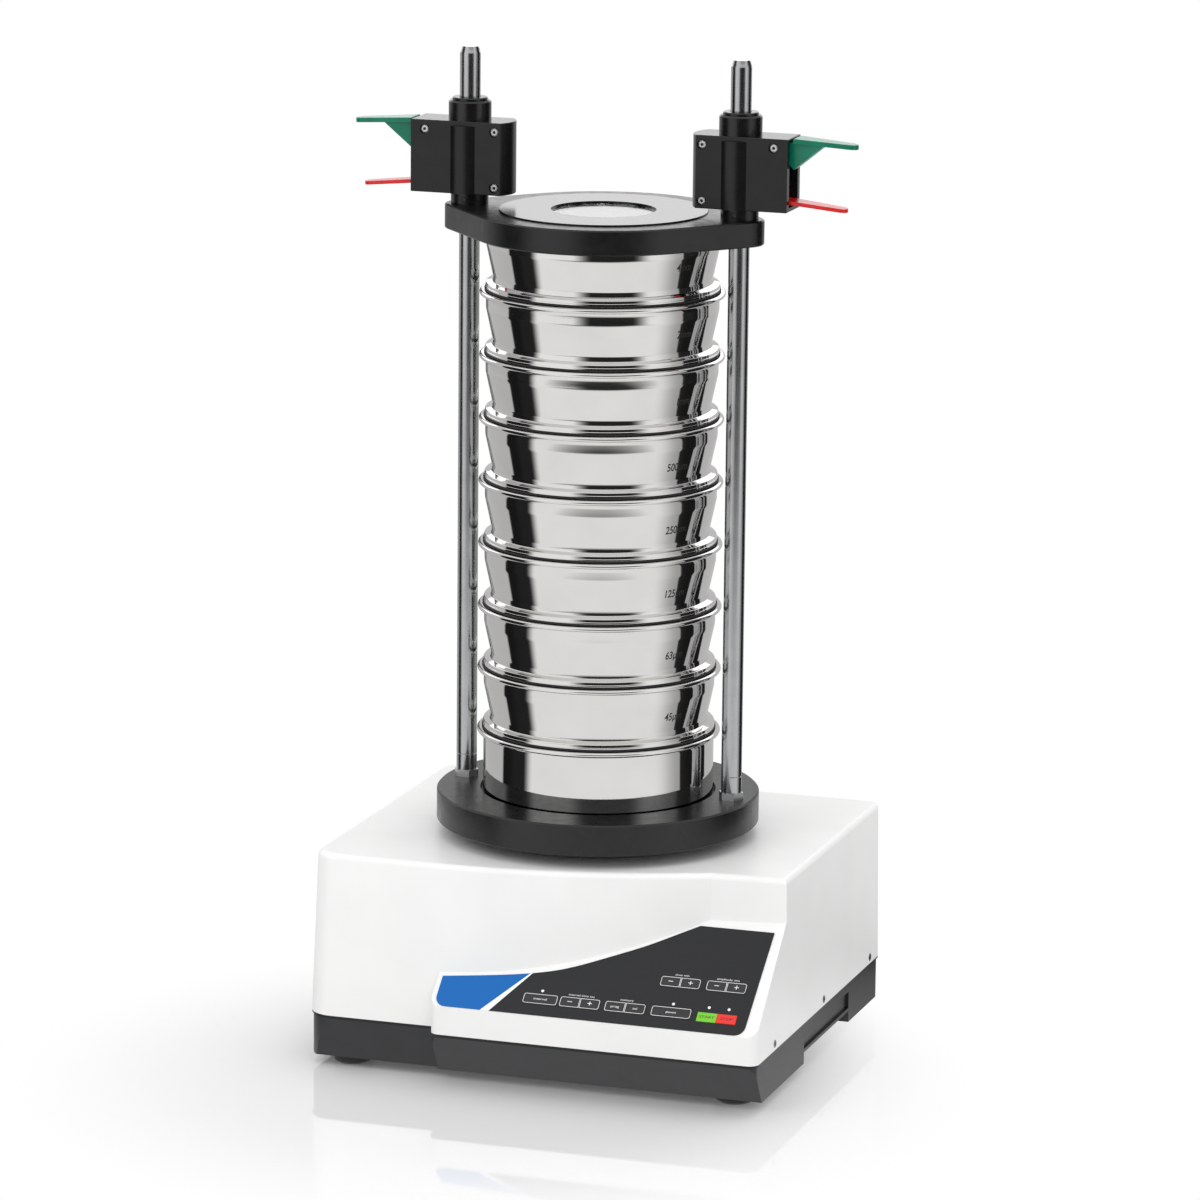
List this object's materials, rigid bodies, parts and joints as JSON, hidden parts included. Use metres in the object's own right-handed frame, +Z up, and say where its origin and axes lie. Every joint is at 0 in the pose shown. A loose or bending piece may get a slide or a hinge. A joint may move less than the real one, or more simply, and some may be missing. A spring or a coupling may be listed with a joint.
{
  "type": "sieve shaker",
  "caption": "Laboratory sieve shaker: white base with sloping keypad, round vibrating plate, stack of round test sieves on a pan, lid clamped on two upright rods.",
  "frame": {"origin": "on the floor under the middle of the base", "axes": "+Z up, +X to the right along the front, +Y to the rear; the keypad faces -Y"},
  "size_m": [0.4538, 0.391, 0.8735],
  "materials": {
    "tray_plastic": "satin dark grey",
    "shell_paint": "smooth white paint",
    "foot_rubber": "matte",
    "screw_steel": "plain",
    "keypad_foil": "matte printed foil",
    "key_foil": "matte printed foil",
    "start_green": "matte print",
    "stop_red": "matte print",
    "lamp_white": "clear lamp",
    "module_plastic": "matte",
    "contact_brass": "plated",
    "board_laminate": "matte",
    "core_iron": "laminated",
    "coil_copper": "enamelled wire",
    "spring_steel": "plain",
    "armature_steel": "plain",
    "column_aluminium": "satin",
    "plate_anodised": "black anodised",
    "rod_chrome": "polished",
    "nut_steel": "plain",
    "sieve_steel": "polished",
    "mesh_steel": "woven wire",
    "lid_plastic": "satin black",
    "window_acrylic": "clear acrylic",
    "clamp_plastic": "satin black",
    "sleeve_black": "satin black",
    "lever_green": "satin",
    "lever_red": "satin"
  },
  "bodies": {
    "base": {"base_tray": "tray_plastic", "housing_shell": "shell_paint", "rubber_feet": "foot_rubber", "housing_screws": "screw_steel", "keypad_panel": "keypad_foil", "indicator_lamps": "lamp_white", "power_inlet": "module_plastic", "inlet_pins": "contact_brass", "circuit_board": "board_laminate", "magnet_core": "core_iron", "magnet_coil": "coil_copper", "drive_springs": "spring_steel"},
    "mains_rocker": {"mains_switch": "module_plastic"},
    "drive_head": {"armature_plate": "armature_steel", "drive_column": "column_aluminium", "sieve_plate": "plate_anodised", "support_rods": "rod_chrome", "rod_nuts": "nut_steel"},
    "pan": {"collecting_pan": "sieve_steel"},
    "interval_button": {"key_interval": "key_foil"},
    "interval_minus_button": {"key_interval_minus": "key_foil"},
    "interval_plus_button": {"key_interval_plus": "key_foil"},
    "program_button": {"key_program": "key_foil"},
    "select_button": {"key_select": "key_foil"},
    "pause_button": {"key_pause": "key_foil"},
    "start_button": {"key_start": "start_green"},
    "stop_button": {"key_stop": "stop_red"},
    "time_minus_button": {"key_time_minus": "key_foil"},
    "time_plus_button": {"key_time_plus": "key_foil"},
    "amplitude_minus_button": {"key_amplitude_minus": "key_foil"},
    "amplitude_plus_button": {"key_amplitude_plus": "key_foil"},
    "sieve_stage_8": {"sieve_8": "sieve_steel", "sieve_mesh_8": "mesh_steel"},
    "sieve_stage_7": {"sieve_7": "sieve_steel", "sieve_mesh_7": "mesh_steel"},
    "sieve_stage_6": {"sieve_6": "sieve_steel", "sieve_mesh_6": "mesh_steel"},
    "sieve_stage_5": {"sieve_5": "sieve_steel", "sieve_mesh_5": "mesh_steel"},
    "sieve_stage_4": {"sieve_4": "sieve_steel", "sieve_mesh_4": "mesh_steel"},
    "sieve_stage_3": {"sieve_3": "sieve_steel", "sieve_mesh_3": "mesh_steel"},
    "sieve_stage_2": {"sieve_2": "sieve_steel", "sieve_mesh_2": "mesh_steel"},
    "sieve_stage_1": {"sieve_1": "sieve_steel", "sieve_mesh_1": "mesh_steel"},
    "lid": {"lid_plate": "lid_plastic", "lid_window": "window_acrylic", "left_clamp_housing": "clamp_plastic", "right_clamp_housing": "clamp_plastic", "clamp_sleeves": "sleeve_black", "clamp_collars": "sleeve_black", "clamp_screws": "screw_steel", "lever_pins": "screw_steel"},
    "left_clamp": {"left_clamp_lever": "lever_green"},
    "left_release": {"left_release_lever": "lever_red"},
    "right_clamp": {"right_clamp_lever": "lever_green"},
    "right_release": {"right_release_lever": "lever_red"}
  },
  "joints": [
    {"name": "interval_press", "type": "slide", "parent": "base", "child": "interval_button", "axis": [0, -0.6623, 0.7492], "range_m": [-0.0004, 0], "stiffness_N_per_m": 600, "springref_m": 0.0003},
    {"name": "interval_minus_press", "type": "slide", "parent": "base", "child": "interval_minus_button", "axis": [0, -0.6623, 0.7492], "range_m": [-0.0004, 0], "stiffness_N_per_m": 600, "springref_m": 0.0003},
    {"name": "interval_plus_press", "type": "slide", "parent": "base", "child": "interval_plus_button", "axis": [0, -0.6623, 0.7492], "range_m": [-0.0004, 0], "stiffness_N_per_m": 600, "springref_m": 0.0003},
    {"name": "program_press", "type": "slide", "parent": "base", "child": "program_button", "axis": [0, -0.6623, 0.7492], "range_m": [-0.0004, 0], "stiffness_N_per_m": 600, "springref_m": 0.0003},
    {"name": "select_press", "type": "slide", "parent": "base", "child": "select_button", "axis": [0, -0.6623, 0.7492], "range_m": [-0.0004, 0], "stiffness_N_per_m": 600, "springref_m": 0.0003},
    {"name": "pause_press", "type": "slide", "parent": "base", "child": "pause_button", "axis": [0, -0.6623, 0.7492], "range_m": [-0.0004, 0], "stiffness_N_per_m": 600, "springref_m": 0.0003},
    {"name": "start_press", "type": "slide", "parent": "base", "child": "start_button", "axis": [0, -0.6623, 0.7492], "range_m": [-0.0004, 0], "stiffness_N_per_m": 600, "springref_m": 0.0003},
    {"name": "stop_press", "type": "slide", "parent": "base", "child": "stop_button", "axis": [0, -0.6623, 0.7492], "range_m": [-0.0004, 0], "stiffness_N_per_m": 600, "springref_m": 0.0003},
    {"name": "time_minus_press", "type": "slide", "parent": "base", "child": "time_minus_button", "axis": [0, -0.6623, 0.7492], "range_m": [-0.0004, 0], "stiffness_N_per_m": 600, "springref_m": 0.0003},
    {"name": "time_plus_press", "type": "slide", "parent": "base", "child": "time_plus_button", "axis": [0, -0.6623, 0.7492], "range_m": [-0.0004, 0], "stiffness_N_per_m": 600, "springref_m": 0.0003},
    {"name": "amplitude_minus_press", "type": "slide", "parent": "base", "child": "amplitude_minus_button", "axis": [0, -0.6623, 0.7492], "range_m": [-0.0004, 0], "stiffness_N_per_m": 600, "springref_m": 0.0003},
    {"name": "amplitude_plus_press", "type": "slide", "parent": "base", "child": "amplitude_plus_button", "axis": [0, -0.6623, 0.7492], "range_m": [-0.0004, 0], "stiffness_N_per_m": 600, "springref_m": 0.0003},
    {"name": "mains_rocker_tip", "type": "hinge", "parent": "base", "child": "mains_rocker", "pos_m": [-0.104, 0.19152, 0.074], "axis": [1, 0, 0], "range_deg": [-16, 0]},
    {"name": "drive_vibration", "type": "slide", "parent": "base", "child": "drive_head", "axis": [0, 0, 1], "range_m": [-0.0015, 0.0015], "stiffness_N_per_m": 300000, "springref_m": 0.00065, "deforming": ["drive_springs"]},
    {"name": "pan_lift", "type": "slide", "parent": "drive_head", "child": "pan", "axis": [0, 0, 1], "range_m": [0, 0.014]},
    {"name": "sieve_8_lift", "type": "slide", "parent": "pan", "child": "sieve_stage_8", "axis": [0, 0, 1], "range_m": [0, 0.014]},
    {"name": "sieve_7_lift", "type": "slide", "parent": "sieve_stage_8", "child": "sieve_stage_7", "axis": [0, 0, 1], "range_m": [0, 0.014]},
    {"name": "sieve_6_lift", "type": "slide", "parent": "sieve_stage_7", "child": "sieve_stage_6", "axis": [0, 0, 1], "range_m": [0, 0.014]},
    {"name": "sieve_5_lift", "type": "slide", "parent": "sieve_stage_6", "child": "sieve_stage_5", "axis": [0, 0, 1], "range_m": [0, 0.014]},
    {"name": "sieve_4_lift", "type": "slide", "parent": "sieve_stage_5", "child": "sieve_stage_4", "axis": [0, 0, 1], "range_m": [0, 0.014]},
    {"name": "sieve_3_lift", "type": "slide", "parent": "sieve_stage_4", "child": "sieve_stage_3", "axis": [0, 0, 1], "range_m": [0, 0.014]},
    {"name": "sieve_2_lift", "type": "slide", "parent": "sieve_stage_3", "child": "sieve_stage_2", "axis": [0, 0, 1], "range_m": [0, 0.014]},
    {"name": "sieve_1_lift", "type": "slide", "parent": "sieve_stage_2", "child": "sieve_stage_1", "axis": [0, 0, 1], "range_m": [0, 0.014]},
    {"name": "lid_lift", "type": "slide", "parent": "sieve_stage_1", "child": "lid", "axis": [0, 0, 1], "range_m": [0, 0.014]},
    {"name": "left_clamp_press", "type": "hinge", "parent": "lid", "child": "left_clamp", "pos_m": [-0.1573, 0.005, 0.80212], "axis": [0, -1, 0], "range_deg": [0, 20], "stiffness_Nm_per_rad": 0.5, "springref_deg": -5.73},
    {"name": "left_release_press", "type": "hinge", "parent": "lid", "child": "left_release", "pos_m": [-0.1563, 0.005, 0.75612], "axis": [0, 1, 0], "range_deg": [0, 12], "stiffness_Nm_per_rad": 0.3, "springref_deg": -5.73},
    {"name": "right_clamp_press", "type": "hinge", "parent": "lid", "child": "right_clamp", "pos_m": [0.1573, 0.005, 0.80212], "axis": [0, 1, 0], "range_deg": [0, 20], "stiffness_Nm_per_rad": 0.5, "springref_deg": -5.73},
    {"name": "right_release_press", "type": "hinge", "parent": "lid", "child": "right_release", "pos_m": [0.1563, 0.005, 0.75612], "axis": [0, -1, 0], "range_deg": [0, 12], "stiffness_Nm_per_rad": 0.3, "springref_deg": -5.73}
  ]
}
